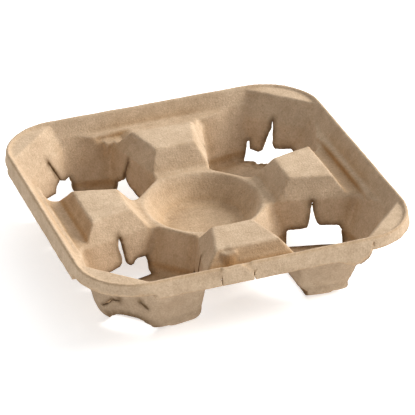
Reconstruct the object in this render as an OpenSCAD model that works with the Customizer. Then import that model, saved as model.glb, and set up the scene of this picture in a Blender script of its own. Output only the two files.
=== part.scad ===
// Moulded-pulp carrier for four cups: one thin shell with a turned-down rim,
// four tapered cup pockets that end as feet, four hollow humps and a central bowl.
// Millimetres, +Z up, origin on the table under the middle of the tray.

/* [Rim] */
// Outside width of the square tray
tray_w = 216; // [200:1:232]
// Height of the rim's top above the table
tray_h = 48; // [46:1:54]
// Outside radius of the rim's corners
corner_r = 38; // [30:1:46]
// Width of the rounded rim between its inner edge and the skirt
rim_land = 4; // [3:0.1:6]
// Drop of the turned-down skirt below the rim's top, along the straight sides
skirt_h = 12; // [9:0.5:15]
// Drop of the skirt below the rim's top, round the corners
corner_skirt_h = 8.5; // [6:0.5:9]
// Outward flare of the skirt
skirt_flare = 1; // [0:0.1:3]
// Radius of the rim's rounded outer edge
rim_round = 3; // [1:0.1:3.4]

/* [Shell] */
// Thickness of the pulp wall
wall = 2; // [1.4:0.1:2.6]

/* [Inner side of the rim] */
// Drop from the rim's top to the crescent shelves in the corners
shelf_drop = 1.2; // [0.8:0.1:3]
// Drop from the rim's top to the ledge on its inner wall
ledge_drop = 10.5; // [8:0.5:13]
// Run of the rim's inner wall between its top and the ledge
wall_run = 5; // [3:0.1:7]
// Width of the ledge between the rim's inner wall and a trench
ledge_w = 2.5; // [1:0.1:4]

/* [Cup pockets] */
// Distance between the centres of neighbouring pockets
pocket_pitch = 108; // [104:1:112]
// Height of the crease where the foot's rounded heel begins
heel_h = 9; // [7:0.5:12]
// Inset of the foot's floor from its heel
heel_inset = 4; // [2:0.1:6]
// Angle of the rim-side faces away from the rim
rim_face_turn = 10; // [5:1:14]
// Angle of the hump-side faces away from the hump's axis
hump_face_turn = 15; // [10:1:20]
// Distance of the outer corner face from the pocket's centre, at the heel
corner_heel = 30.5; // [29:0.5:33]
// Height of the crease across the outer corner face
corner_crease_h = 22; // [18:0.5:25]
// Distance of the outer corner face from the pocket's centre, at its crease
corner_crease = 33; // [32:0.5:36]
// Distance of the outer corner face from the pocket's centre, level with the hump-side crease
corner_waist = 35.5; // [34.5:0.5:37.5]
// Distance of the outer corner face from the pocket's centre, at the shelf
corner_mouth = 45.5; // [43:0.5:48]
// Distance of the rim-side faces from the pocket's centre, at the heel
rim_side_heel = 33.5; // [32:0.5:35]
// Distance of the rim-side faces from the pocket's centre, at the shelf
rim_side_mouth = 47.5; // [45:0.5:49]
// Distance of the hump-side faces from the pocket's centre, at the heel
hump_side_heel = 27.5; // [26:0.5:29]
// Height of the crease across the hump-side faces
hump_crease_h = 31; // [28:0.5:34]
// Distance of the hump-side faces from the pocket's centre, at their crease
hump_side_crease = 31; // [29:0.5:33]
// Distance of the hump-side faces from the pocket's centre, at the shelf
hump_side_mouth = 41; // [39:0.5:43]
// Distance of the bowl-side face from the pocket's centre, at the heel
bowl_side_heel = 30; // [28:0.5:32]
// Distance of the bowl-side face from the pocket's centre, at the shelf
bowl_side_mouth = 42.5; // [41:0.5:43.5]
// Radius of the pocket's upright corners
pocket_round = 9; // [6:0.5:12]

/* [Humps] */
// Drop from the rim's top to the flat tops of the humps
hump_drop = 4.5; // [3.5:0.5:6]
// Distance of the humps' inner top edges from the tray's centre
hump_in = 52.5; // [51:0.5:54]
// Distance of the humps' outer top edges from the tray's centre
hump_out = 80; // [77:0.5:83]
// Run of the humps' outer faces from their top edge to the trench
hump_out_run = 6; // [4:0.5:8]
// Drop from the rim's top to the trench between hump and rim
trench_drop = 14.5; // [13.5:0.5:18]
// Run of the trench's outer wall
trench_wall_run = 2; // [1:0.5:3]
// Half length of the trench behind each hump
trench_half = 40; // [36:1:46]

/* [Central bowl] */
// Height of the bowl's lip
lip_h = 30; // [28:0.5:32]
// Radius of the bowl at its lip
bowl_r = 38.5; // [36:0.5:39.5]
// Distance of the humps' inner faces from the tray's centre, at the lip
lip_half = 42; // [40.5:0.5:45]
// Depth of the bowl below its lip
bowl_depth = 15; // [10:0.5:20]
// Slope of the bowl's wall, in degrees from level
bowl_slope = 50; // [44:1:58]
// Radius of the rounded foot of the bowl's wall
bowl_foot_round = 8; // [4:0.5:10]
// Radius of the bowl's rounded lip
lip_round = 3; // [1:0.5:4]

/* [Cut-outs] */
// Width of the slot at the foot of each hump-side face
side_slot_w = 36; // [28:0.5:38]
// Height of that slot's top above the table
side_slot_h = 13; // [10:0.5:18]
// Distance from the pocket's centre at which that slot begins in the floor
side_slot_in = 21; // [19:0.5:23]
// Height of the upper end of the slit in each hump-side face
side_slit_h = 32; // [24:0.5:36]
// Shift of that slit from the middle of its face towards the rim
side_slit_off = 2.5; // [0:0.5:6]
// Width of the arch in each outer corner of a foot
arch_w = 34; // [28:0.5:38]
// Width of that arch at its crown
arch_crown_w = 26; // [20:0.5:30]
// Height of that arch's crown above the table
arch_h = 8.5; // [7:0.5:12]
// Distance from the pocket's centre at which that arch begins in the floor
arch_in = 21; // [19:0.5:26]
// Height of the upper end of the slit in the outer corner faces at the back
corner_slit_h = 33; // [26:0.5:37]
// Width of a slit at its upper end
slit_top_w = 1.6; // [1:0.1:3]
// Width of a slit at its lower end
slit_foot_w = 5; // [3:0.1:8]
// Width of the flap over the arch in the outer corner faces at the front
flap_w = 31; // [27:0.5:34]
// Height of that flap's crease above the table
flap_h = 20.5; // [18:0.5:23]
// Run of the two cuts at the flap's ends
flap_cut_run = 7; // [4:0.5:10]
// Drop of the two cuts at the flap's ends
flap_cut_drop = 5; // [3:0.5:8]
// Width of the two cuts at the flap's ends
flap_cut_w = 1; // [0.6:0.1:2]

/* [Lugs] */
// Radius of the half-round lug on the front hump, at its top
front_lug_r = 6; // [4:0.5:8]
// Widening of that lug towards its foot
front_lug_taper = 1; // [0:0.1:2]
// Drop from the rim's top to that lug's top
front_lug_drop = 6; // [5:0.5:9]
// Distance of that lug to the left of the tray's middle
front_lug_off = 13; // [9:0.5:16]
// Width of the lug on the back wall
back_lug_w = 13; // [10:0.5:18]
// Reach of that lug inwards from the foot of the rim's wall
back_lug_d = 8; // [7:0.5:10]
// Drop from the rim's top to that lug's top
back_lug_drop = 14.5; // [13:0.5:17]
// Height of that lug
back_lug_h = 10; // [7:0.5:14]
// Distance of that lug to the left of the tray's middle
back_lug_off = 29.5; // [26:0.5:36]

/* [Front tab] */
// Width of the square-edged tab in the front of the rim
tab_w = 20.5; // [14:0.5:26]
// Distance of the tab's middle to the left of the tray's middle
tab_off = 16.5; // [12:0.5:30]
// Set-back of the tab's face from the skirt's lower edge
tab_set = 0.4; // [0.2:0.1:0.8]
// Drop from the rim's top to the tab's upper edge
tab_drop = 0.5; // [0.2:0.1:1.5]
// Height of the cuts at the tab's ends
tab_cut_h = 6; // [3:0.5:8]
// Width of the cuts at the tab's ends
tab_cut_w = 0.9; // [0.5:0.1:2]

/* [Hidden] */
pulp_colour = [0.76, 0.62, 0.47];
slice = 0.02;
past = 1;
curve_fn = 28;
bowl_fn = 64;
bowl_steps = 4;
lip_steps = 3;
lip_turn = 80;
corner_edge_r = 1;
block_corner_r = 20;
seam = 0.1;
rim_steps = 3;
lug_round = 1.5;

half_w = tray_w / 2;
land_half = half_w - skirt_flare - rim_land;
pocket_c = pocket_pitch / 2;
shelf_z = tray_h - shelf_drop;
ledge_z = tray_h - ledge_drop;
hump_z = tray_h - hump_drop;
trench_z = tray_h - trench_drop;
skirt_z = tray_h - skirt_h;
floor_z = wall;
inner_corner_r = corner_r - skirt_flare - rim_land;
ledge_half = land_half - wall_run;
foot_half = pocket_c + rim_side_heel;

CORNER = 0;
RIM = 1;
HUMP = 2;
BOWL = 3;
// Faces of a pocket in turn, from its outer corner round by the left
face_kinds = [CORNER, RIM, HUMP, BOWL, HUMP, RIM];
face_angles = [
  45,
  90 + rim_face_turn,
  180 - hump_face_turn,
  225,
  270 + hump_face_turn,
  360 - rim_face_turn,
];
heel_steps = 3;
heel_z = [for (i = [heel_steps:-1:1]) heel_h - (heel_h - floor_z) * sin(90 * i / heel_steps)];
level_z = concat(heel_z, [heel_h, corner_crease_h, hump_crease_h, shelf_z, tray_h + past]);

function between(z, z0, d0, z1, d1) = d0 + (d1 - d0) * (z - z0) / (z1 - z0);

// Distance of one face from the pocket's centre at a height above the heel
function face_distance(kind, z) =
  kind == CORNER
    ? (z < corner_crease_h
      ? between(z, heel_h, corner_heel, corner_crease_h, corner_crease)
      : z < hump_crease_h
        ? between(z, corner_crease_h, corner_crease, hump_crease_h, corner_waist)
        : between(z, hump_crease_h, corner_waist, shelf_z, corner_mouth))
    : kind == HUMP
      ? (z < hump_crease_h
        ? between(z, heel_h, hump_side_heel, hump_crease_h, hump_side_crease)
        : between(z, hump_crease_h, hump_side_crease, shelf_z, hump_side_mouth))
      : kind == RIM
        ? between(z, heel_h, rim_side_heel, shelf_z, rim_side_mouth)
        : between(z, heel_h, bowl_side_heel, shelf_z, bowl_side_mouth);

// Point where two lines meet, each given by its normal's angle and its distance
function meeting(a0, d0, a1, d1) =
  [d0 * sin(a1) - d1 * sin(a0), d1 * cos(a0) - d0 * cos(a1)] / sin(a1 - a0);

// Half width of the rim's inner wall, and of the square of the humps' outer faces, at a height
function rim_half(z) = between(z, ledge_z, ledge_half, tray_h, land_half);
function hump_half(z) = between(z, trench_z, hump_out + hump_out_run, hump_z, hump_out);

// Distance of the corner faces from the tray's centre, at a height
function corner_half(z) = pocket_c * sqrt(2) + face_distance(CORNER, z);

// Inset of the rounded heel at a height
function heel_in(z) =
  let (u = max(0, heel_h - z) / (heel_h - floor_z))
    heel_inset * (1 - sqrt(max(0, 1 - u * u)));

function face_distances(z) =
  [for (kind = face_kinds) face_distance(kind, max(z, heel_h)) - heel_in(z)];

function pocket_points(d) =
  [for (i = [0:5]) let (k = (i + 1) % 6) meeting(face_angles[i], d[i], face_angles[k], d[k])];

// The four quarters of the tray, mirrored from the one at +X +Y
module quarters() {
  for (mx = [0, 1])
    for (my = [0, 1])
      mirror([mx, 0, 0])
        mirror([0, my, 0])
          children();
}

// The four sides of the tray, turned from the one at +X
module sides() {
  for (turn = [0:90:270])
    rotate(turn)
      children();
}

module at_height(z) {
  translate([0, 0, z])
    linear_extrude(slice)
      children();
}

module rounded_square(half, r) {
  offset(r = r, $fn = curve_fn)
    square(2 * (half - r), center = true);
}

// Solid between two rounded squares
module square_loft(z0, half0, r0, z1, half1, r1) {
  hull() {
    at_height(z0)
      rounded_square(half0, r0);
    at_height(z1)
      rounded_square(half1, r1);
  }
}

module pocket_section(z, grow) {
  offset(r = pocket_round + grow, $fn = curve_fn)
    offset(delta = -pocket_round)
      polygon(pocket_points(face_distances(z)));
}

// One pocket's space, grown by the wall to give the outside of its foot
module pocket_space(grow) {
  translate([pocket_c, pocket_c, 0])
    for (i = [0:len(level_z) - 2])
      hull() {
        at_height(level_z[i] - grow)
          pocket_section(level_z[i], grow);
        at_height(level_z[i + 1] - grow)
          pocket_section(level_z[i + 1], grow);
      }
}

// Room that bounds the pockets: it widens up to the foot of the rim's wall
module well_space(grow) {
  top_half = ledge_half + grow - seam;
  square_loft(-past, foot_half + grow, inner_corner_r, heel_h, foot_half + grow, inner_corner_r);
  square_loft(heel_h, foot_half + grow, inner_corner_r, ledge_z - grow, top_half, inner_corner_r);
  square_loft(ledge_z - grow, top_half, inner_corner_r, tray_h + past, top_half, inner_corner_r);
}

// Pulp beyond the corner faces, up to the crescent shelves
module corner_block(grow) {
  block_z = ledge_z - grow - past;
  top_z = shelf_z - grow;
  difference() {
    translate([0, 0, block_z])
      linear_extrude(top_z - block_z)
        square(tray_w, center = true);
    rotate(45)
      square_loft(
        block_z - past, corner_half(block_z - past) + grow - seam, corner_edge_r,
        top_z + past, corner_half(top_z + past) + grow - seam, corner_edge_r);
  }
}

// Square of pulp inside the humps' outer faces, up to their tops
module hump_block(grow) {
  block_z = ledge_z - grow - past;
  square_loft(
    block_z, hump_half(block_z) - grow + seam, block_corner_r,
    hump_z - grow - slice, hump_half(hump_z) - grow + seam, block_corner_r);
}

// Room inside the rim's wall, down to its ledge, the crescent shelves and the humps' tops
module rim_space(grow) {
  difference() {
    square_loft(
      ledge_z - grow, ledge_half + grow, inner_corner_r,
      tray_h + past, rim_half(tray_h + past) + grow, inner_corner_r);
    corner_block(grow);
    hump_block(grow);
  }
}

// Trench between a hump and the ledge
module trench_space(grow) {
  trench_out = ledge_half - ledge_w;
  rotate([90, 0, 0])
    linear_extrude(2 * trench_half, center = true)
      offset(delta = grow)
        polygon([
          [hump_half(trench_z), trench_z],
          [trench_out - trench_wall_run, trench_z],
          [trench_out, ledge_z],
          [trench_out, ledge_z + past],
          [hump_half(ledge_z) + past, ledge_z + past],
          [hump_half(ledge_z), ledge_z],
        ]);
}

// Room over the bowl's lip, between the humps' inner faces
module centre_space(grow) {
  slope = (hump_in - lip_half) / (hump_z - lip_h);
  square_loft(
    lip_h - grow, lip_half + grow, wall + grow,
    tray_h + past, lip_half + slope * (tray_h + past - lip_h) + grow, wall + grow);
}

// Round bowl with a flat floor, a sloping wall and a rounded lip
module bowl_space(grow) {
  bowl_floor_z = lip_h - bowl_depth;
  lip_points = [
    for (i = [0:lip_steps])
      let (t = 90 - bowl_slope + (lip_turn - 90 + bowl_slope) * i / lip_steps)
        [bowl_r - lip_round * cos(t), lip_h - lip_round * (1 - sin(t))]
  ];
  wall_top = lip_points[0];
  wall_foot_z = bowl_floor_z + bowl_foot_round * (1 - cos(bowl_slope));
  wall_foot_r = wall_top[0] - (wall_top[1] - wall_foot_z) / tan(bowl_slope);
  floor_r = wall_foot_r - bowl_foot_round * sin(bowl_slope);
  foot_points = [
    for (i = [0:bowl_steps])
      let (t = bowl_slope * i / bowl_steps)
        [floor_r + bowl_foot_round * sin(t), bowl_floor_z + bowl_foot_round * (1 - cos(t))]
  ];
  rotate_extrude($fn = bowl_fn)
    polygon(concat(
      [[0, bowl_floor_z - grow]],
      [for (p = concat(foot_points, lip_points)) [p[0] + grow, p[1] - grow]],
      [[bowl_r + grow, lip_h + past], [0, lip_h + past]]));
}

// Half-round lug on the front hump's outer face, inset by the wall for its hollow back
module front_lug(inset) {
  foot_z = trench_z - past - inset;
  top_z = tray_h - front_lug_drop - inset;
  r = front_lug_r - inset;
  translate([-front_lug_off, -hump_out, foot_z])
    cylinder(h = top_z - foot_z, r1 = r + front_lug_taper, r2 = r, $fn = curve_fn);
}

// Rounded lug on the back wall, inset by the wall for its hollow back
module back_lug(inset) {
  shrink = 2 * (inset + lug_round);
  translate([-back_lug_off, ledge_half - back_lug_d / 2, tray_h - back_lug_drop - back_lug_h - inset])
    linear_extrude(back_lug_h)
      offset(r = lug_round, $fn = curve_fn)
        square([back_lug_w - shrink, back_lug_d - shrink], center = true);
}

// All the room above the pulp, or the same room grown by the wall
module open_space(grow) {
  difference() {
    union() {
      rim_space(grow);
      quarters()
        intersection() {
          pocket_space(grow);
          well_space(grow);
        }
      sides()
        trench_space(grow);
      centre_space(grow);
      bowl_space(grow);
    }
    front_lug(grow);
    back_lug(grow);
  }
}

// Square-edged tab that stands out of the rounded rim
module tab_block(inset) {
  foot_z = skirt_z - past;
  top_z = tray_h - tab_drop - inset;
  translate([-tab_off - tab_w / 2 + inset, -half_w + tab_set + inset, foot_z])
    cube([tab_w - 2 * inset, rim_land, top_z - foot_z]);
}

// Outer bounds of the tray: the skirt's outside, the rounded rim and the tab
module envelope(inset) {
  half = half_w - inset;
  r = corner_r - inset;
  top = tray_h - inset - slice;
  step = 90 / rim_steps;
  edge_z = skirt_z + past / 2;
  square_loft(-past, half, r, edge_z, half, r);
  square_loft(edge_z, half, r, top - rim_round, half - skirt_flare, r - skirt_flare);
  for (t = [0:step:90 - step]) {
    in0 = skirt_flare + rim_round * (1 - cos(t));
    in1 = skirt_flare + rim_round * (1 - cos(t + step));
    square_loft(
      top - rim_round * (1 - sin(t)), half - in0, r - in0,
      top - rim_round * (1 - sin(t + step)), half - in1, r - in1);
  }
  tab_block(inset);
}

// Turned-down skirt, deeper along the straight sides than round the corners
module skirt() {
  straight_half = half_w - corner_r - past;
  difference() {
    envelope(0);
    envelope(wall);
    translate([0, 0, skirt_z - tray_h])
      linear_extrude(tray_h)
        square(2 * tray_w, center = true);
    quarters()
      translate([straight_half, straight_half, skirt_z - past])
        cube([tray_w, tray_w, skirt_h - corner_skirt_h + past]);
    for (end = [-1, 1])
      translate([-tab_off + end * tab_w / 2, -half_w, skirt_z])
        cube([tab_cut_w, 4 * wall, 2 * tab_cut_h], center = true);
  }
}

// Outline of a slot that narrows towards its top
module slot_outline(foot_w, crown_w, crown_h) {
  polygon([
    [-foot_w / 2, -past],
    [-foot_w / 2, floor_z],
    [-crown_w / 2, crown_h],
    [crown_w / 2, crown_h],
    [foot_w / 2, floor_z],
    [foot_w / 2, -past],
  ]);
}

// Outline of a slit that rises out of a slot
module slit_outline(foot_z, top_z, off) {
  polygon([
    [off - slit_foot_w / 2, foot_z],
    [off - slit_top_w / 2, top_z],
    [off + slit_top_w / 2, top_z],
    [off + slit_foot_w / 2, foot_z],
  ]);
}

// Outlines of the two slanting cuts at a flap's ends
module flap_outline() {
  for (end = [-1, 1])
    hull()
      for (p = [[flap_w / 2, flap_h - flap_cut_drop], [flap_w / 2 - flap_cut_run, flap_h]])
        translate([end * p[0], p[1]])
          circle(d = flap_cut_w, $fn = 8);
}

// A cut through one face of a pocket, from a distance inside it to one outside it
module face_cut(angle, near, far) {
  translate([pocket_c, pocket_c, 0])
    rotate(angle)
      translate([near, 0, 0])
        rotate([90, 0, 90])
          linear_extrude(far - near)
            children();
}

// Slots with slits in the two hump-side faces, and the arch in the outer corner
module pocket_cuts() {
  face_cut(face_angles[0], arch_in, corner_mouth + wall)
    slot_outline(arch_w, arch_crown_w, arch_h);
  for (i = [2, 4])
    face_cut(face_angles[i], side_slot_in, hump_side_mouth) {
      slot_outline(side_slot_w, side_slot_w, side_slot_h);
      slit_outline(side_slot_h - past, side_slit_h, i == 2 ? -side_slit_off : side_slit_off);
    }
}

// Cuts over the arches: slits at the back, flap ends at the front
module corner_cuts() {
  for (mx = [0, 1])
    mirror([mx, 0, 0]) {
      face_cut(face_angles[0], arch_in, corner_mouth + wall)
        slit_outline(arch_h - past, corner_slit_h, 0);
      mirror([0, 1, 0])
        face_cut(face_angles[0], arch_in, corner_mouth + wall)
          flap_outline();
    }
}

module cup_carrier() {
  color(pulp_colour)
    difference() {
      intersection() {
        union() {
          open_space(wall);
          skirt();
        }
        envelope(0);
      }
      open_space(0);
      quarters()
        pocket_cuts();
      corner_cuts();
    }
}

cup_carrier();
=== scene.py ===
"""Looks of the moulded-pulp cup carrier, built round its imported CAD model.

The tray is one sheet of felted pulp. Its upper side is drawn as a smooth implicit surface in
millimetres, the cuts are torn out of it, and the sheet is given its thickness.
"""

import math

import bpy
import numpy as np
from mathutils import Matrix, Vector


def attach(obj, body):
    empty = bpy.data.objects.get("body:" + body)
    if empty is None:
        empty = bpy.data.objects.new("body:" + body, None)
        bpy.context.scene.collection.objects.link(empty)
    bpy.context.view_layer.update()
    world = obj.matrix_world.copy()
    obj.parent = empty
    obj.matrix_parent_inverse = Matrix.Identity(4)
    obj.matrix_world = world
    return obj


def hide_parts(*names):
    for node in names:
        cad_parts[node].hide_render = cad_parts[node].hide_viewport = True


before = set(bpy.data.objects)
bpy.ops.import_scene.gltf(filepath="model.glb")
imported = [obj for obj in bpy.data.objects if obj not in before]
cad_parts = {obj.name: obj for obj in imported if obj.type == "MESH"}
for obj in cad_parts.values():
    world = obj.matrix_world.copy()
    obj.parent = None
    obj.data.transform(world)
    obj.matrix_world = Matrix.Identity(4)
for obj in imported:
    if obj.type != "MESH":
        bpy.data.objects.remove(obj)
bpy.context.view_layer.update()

MM = 0.001
GRID = 1.2
MOST_TRIANGLES = 188000

# Sizes of the tray in millimetres, from the CAD model or, where it differs, from the photo
HALF_W = 108.0
TRAY_H = 48.0
CORNER_R = 38.0
FLARE = 1.0
LAND_HALF = 104.6  # the photo's; 103 in the CAD model
INNER_R = 33.0
SKIRT_Z = 36.0
CORNER_SKIRT_Z = 39.5
WALL = 2.0
SHELF_Z = 45.7  # the photo's; 46.8 in the CAD model
LEDGE_Z = 37.5
LEDGE_HALF = 98.0
POCKET_C = 54.0
FLOOR_Z = 2.0
HEEL_Z = 9.0
FOOT_HALF = 87.5
HUMP_Z = 43.5
HUMP_OUT = 80.0
HUMP_IN = 52.5
TRENCH_Z = 33.5
TRENCH_HALF = 40.0
LIP_Z = 30.0
LIP_HALF = 42.0
BOWL_FLOOR_Z = 15.0
BOWL_FOOT_R = 24.5
BOWL_SLOPE = 50.0
FACE_ANGLES = (45.0, 100.0, 165.0, 225.0, 285.0, 350.0)
# Heights up each kind of face, and the face's distance from the pocket's centre there
CORNER_FACE = ((9.0, 22.0, 31.0, 46.8), (30.5, 33.0, 35.5, 45.5))
RIM_FACE = ((9.0, 46.8), (33.5, 47.5))
HUMP_FACE = ((9.0, 31.0, 46.8), (27.5, 31.0, 41.0))
BOWL_FACE = ((9.0, 46.8), (30.0, 42.5))
FACES = (CORNER_FACE, RIM_FACE, HUMP_FACE, BOWL_FACE, HUMP_FACE, RIM_FACE)
# Raised strip of the pocket's floor: distance toward the corner, height
FLOOR_STRIP = 20.0
STRIP_RISE = 0.9
# Ledge in the pocket's rim-side walls, in the scene only: depth, start and growth along the wall,
# drop of its edge, and where it fades away below
WALL_STEP = 2.2
STEP_START = -8.0
STEP_GROWTH = 12.0
STEP_EDGE = 1.1
STEP_LOW_Z = 14.0
STEP_FADE = 20.0
# Lean of a hump's outside from its top to the trench, and radius of the humps' outline
HUMP_LEAN = 6.0
HUMP_CORNER_R = 20.0
# Outer wall of the trenches and its lean, and where the back trench rises to its ledge
TRENCH_OUT = 93.5
TRENCH_LEAN = 0.25
BACK_RISE_X = (-24.0, -16.0)
# Hollow between the humps: corner radius, and the share that turns its width into a distance
CENTRE_CORNER_R = 3.0
CENTRE_SHARE = 0.79
# Front lug: x, distance in from the hump's outside, top, radius at the top and taper
FRONT_LUG_X = -13.0
FRONT_LUG_IN = 1.8
FRONT_LUG_Z = 42.0
FRONT_LUG_R = 5.8
FRONT_LUG_TAPER = 0.3
# Back lug: centre and half sizes
BACK_LUG = (-29.5, 93.4, 28.0)
BACK_LUG_HALF = (6.7, 4.9, 5.0)
# Set-back of the sheet from the CAD model's box, and lower end and height of the skirt's flare
SIDE_GAP = 0.3
TOP_GAP = 0.25
FLARE_Z = 36.5
FLARE_RISE = 8.5
# Front tab: x, half width, y of its two faces, top, and droop of its right end
TAB_X = -16.5
TAB_HALF = 10.25
TAB_Y = (-107.5, -105.2)
TAB_Z = 47.8
TAB_DROOP = ((-14.0, -10.7, -7.9), (0.0, 2.4, 6.4))
# Dip behind the front tab: half length, y, half width, floor
DIP_HALF = 9.0
DIP_Y = -104.6
DIP_REACH = 0.9
DIP_Z = 46.6
# Widths over which the faces of one form are rounded into each other
FACE_ROUND = 3.0
WELL_ROUND = 2.0
FLOOR_ROUND = 5.0
LEDGE_ROUND = 1.5
SHELF_ROUND = 0.8
HUMP_TOP_ROUND = 1.2
HUMP_FOOT_ROUND = 1.6
TRENCH_WALL_ROUND = 1.0
TRENCH_FLOOR_ROUND = 1.2
TRENCH_END_ROUND = 2.0
CENTRE_ROUND = 2.0
BOWL_ROUND = 2.4
FRONT_LUG_ROUND = 1.5
BACK_LUG_ROUND = 2.0
BACK_LUG_END_ROUND = 1.6
RIM_ROUND = 2.6
TAB_ROUND = 0.6
# Widths over which two forms are blended
TAB_BLEND = 0.5
RIM_BLEND_SHARE = 0.4
RIM_BLEND = (0.3, 1.2)
TRENCH_BLEND = 1.9
CENTRE_BLEND = 1.2
BOWL_BLEND = 1.1
LUG_BLEND = 0.9
BLOCK_BLEND = 1.3
# Unevenness of the pulp: height, size and seed of each layer of noise
UNEVEN = ((0.14, 13.0, 3), (0.09, 4.5, 5))


# Noise and blending

HASH_X, HASH_Y, HASH_Z, HASH_SEED = 73856093, 19349663, 83492791, 40503
HASH_FIRST, HASH_SECOND = 2246822519, 3266489917
HASH_BITS = 0xFFFFFFFF


def lattice(i, j, k, seed):
    """Fixed pseudo-random value from -1 to 1 at each whole-number point."""
    h = (i * HASH_X) ^ (j * HASH_Y) ^ (k * HASH_Z) ^ (seed * HASH_SEED)
    h &= HASH_BITS
    h = ((h ^ (h >> 15)) * HASH_FIRST) & HASH_BITS
    h = ((h ^ (h >> 13)) * HASH_SECOND) & HASH_BITS
    h ^= h >> 16
    return (h & 0xFFFF) / 32767.5 - 1.0


def noise(p, size, seed):
    """Smooth noise from -1 to 1 with features of one size in millimetres."""
    q = p / size
    base = np.floor(q).astype(np.int64)
    f = q - base
    w = f * f * (3.0 - 2.0 * f)
    total = np.zeros(len(p))
    for dx in (0, 1):
        wx = w[:, 0] if dx else 1.0 - w[:, 0]
        for dy in (0, 1):
            wy = w[:, 1] if dy else 1.0 - w[:, 1]
            for dz in (0, 1):
                wz = w[:, 2] if dz else 1.0 - w[:, 2]
                here = lattice(base[:, 0] + dx, base[:, 1] + dy, base[:, 2] + dz, seed)
                total += wx * wy * wz * here
    return total


def smin(a, b, k):
    """Smaller of two distances, blended over k."""
    h = np.maximum(k - np.abs(a - b), 0.0) / k
    return np.minimum(a, b) - h * h * k * 0.25


def smax(a, b, k):
    """Larger of two distances, blended over k."""
    return -smin(-a, -b, k)


def ramp(z, levels):
    """Piecewise straight value over height, carried on past its upper end."""
    zs, ds = levels
    out = np.interp(z, zs, ds)
    top = (ds[-1] - ds[-2]) / (zs[-1] - zs[-2])
    return out + np.where(z > zs[-1], (z - zs[-1]) * top, 0.0)


# The tray as distances: negative is inside

def square_2d(x, y, half, r):
    """Distance from a square with rounded corners."""
    dx = np.abs(x) - (half - r)
    dy = np.abs(y) - (half - r)
    outside = np.hypot(np.maximum(dx, 0.0), np.maximum(dy, 0.0))
    return outside + np.minimum(np.maximum(dx, dy), 0.0) - r


def rim_half(z):
    """Half width inside the rim at a height."""
    return LEDGE_HALF + (LAND_HALF - LEDGE_HALF) * (z - LEDGE_Z) / (TRAY_H - LEDGE_Z)


def hump_half(z):
    """Distance of the humps' outside from the middle at a height."""
    return HUMP_OUT + HUMP_LEAN * (HUMP_Z - z) / (HUMP_Z - TRENCH_Z)


def wall_step(along, z):
    """Depth of the ledge in a pocket's rim-side wall, which fades away from the hump."""
    fade = np.clip((along - STEP_START) / STEP_GROWTH, 0.0, 1.0)
    low = np.clip((LEDGE_Z - z) / STEP_EDGE, 0.0, 1.0)
    low = low * np.clip((z - STEP_LOW_Z) / STEP_FADE, 0.0, 1.0)
    return WALL_STEP * fade * low


def pocket_air(x, y, z):
    """The four six-sided pockets."""
    px = np.abs(x) - POCKET_C
    py = np.abs(y) - POCKET_C
    out = None
    for angle, levels in zip(FACE_ANGLES, FACES):
        c, s = math.cos(math.radians(angle)), math.sin(math.radians(angle))
        d = px * c + py * s - ramp(z, levels)
        if levels is RIM_FACE:
            along = (py * c - px * s) * (1.0 if angle < 180.0 else -1.0)
            d = d + wall_step(along, z)
        out = d if out is None else smax(out, d, FACE_ROUND)
    foot_half = np.interp(z, (HEEL_Z, LEDGE_Z), (FOOT_HALF, LEDGE_HALF))
    well_half = np.where(z < LEDGE_Z, foot_half, rim_half(z))
    out = smax(out, square_2d(x, y, well_half, INNER_R), WELL_ROUND)
    strip = np.clip((px + py) * math.sqrt(0.5) - FLOOR_STRIP, 0.0, STRIP_RISE)
    return smax(out, FLOOR_Z + strip - z, FLOOR_ROUND)


def rim_air(x, y, z):
    """The space inside the rim, above the crescent shelves, the ledge and the humps."""
    diagonal = (np.abs(x) + np.abs(y)) * math.sqrt(0.5)
    corner = diagonal - POCKET_C * math.sqrt(2.0) - ramp(z, CORNER_FACE)
    humps = square_2d(x, y, hump_half(z), HUMP_CORNER_R)
    out = smax(square_2d(x, y, rim_half(z), INNER_R), LEDGE_Z - z, LEDGE_ROUND)
    out = smax(out, smin(corner, SHELF_Z - z, SHELF_ROUND), SHELF_ROUND)
    return smax(out, smin(-humps, HUMP_Z - z, HUMP_TOP_ROUND), HUMP_FOOT_ROUND)


def trench_air(x, y, z):
    """The trenches between the humps and the rim."""
    u = np.maximum(np.abs(x), np.abs(y))
    v = np.minimum(np.abs(x), np.abs(y))
    trench_out = TRENCH_OUT + TRENCH_LEAN * (z - TRENCH_Z)
    out = smax(hump_half(z) - u, u - trench_out, TRENCH_WALL_ROUND)
    rise = np.interp(x, BACK_RISE_X, (0.0, LEDGE_Z - TRENCH_Z))
    filled = np.where(y > np.abs(x), rise, 0.0)
    out = smax(out, TRENCH_Z + filled - z, TRENCH_FLOOR_ROUND)
    return smax(out, v - TRENCH_HALF, TRENCH_END_ROUND)


def centre_air(x, y, z):
    """The hollow between the humps, above the bowl's lip."""
    slope = (HUMP_IN - LIP_HALF) / (HUMP_Z - LIP_Z)
    side = square_2d(x, y, LIP_HALF + slope * (z - LIP_Z), CENTRE_CORNER_R)
    return smax(side * CENTRE_SHARE, LIP_Z - z, CENTRE_ROUND)


def bowl_air(x, y, z):
    """The bowl in the middle."""
    slope = math.radians(BOWL_SLOPE)
    wall = BOWL_FOOT_R + (z - BOWL_FLOOR_Z) / math.tan(slope)
    return smax((np.hypot(x, y) - wall) * math.sin(slope), BOWL_FLOOR_Z - z, BOWL_ROUND)


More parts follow.
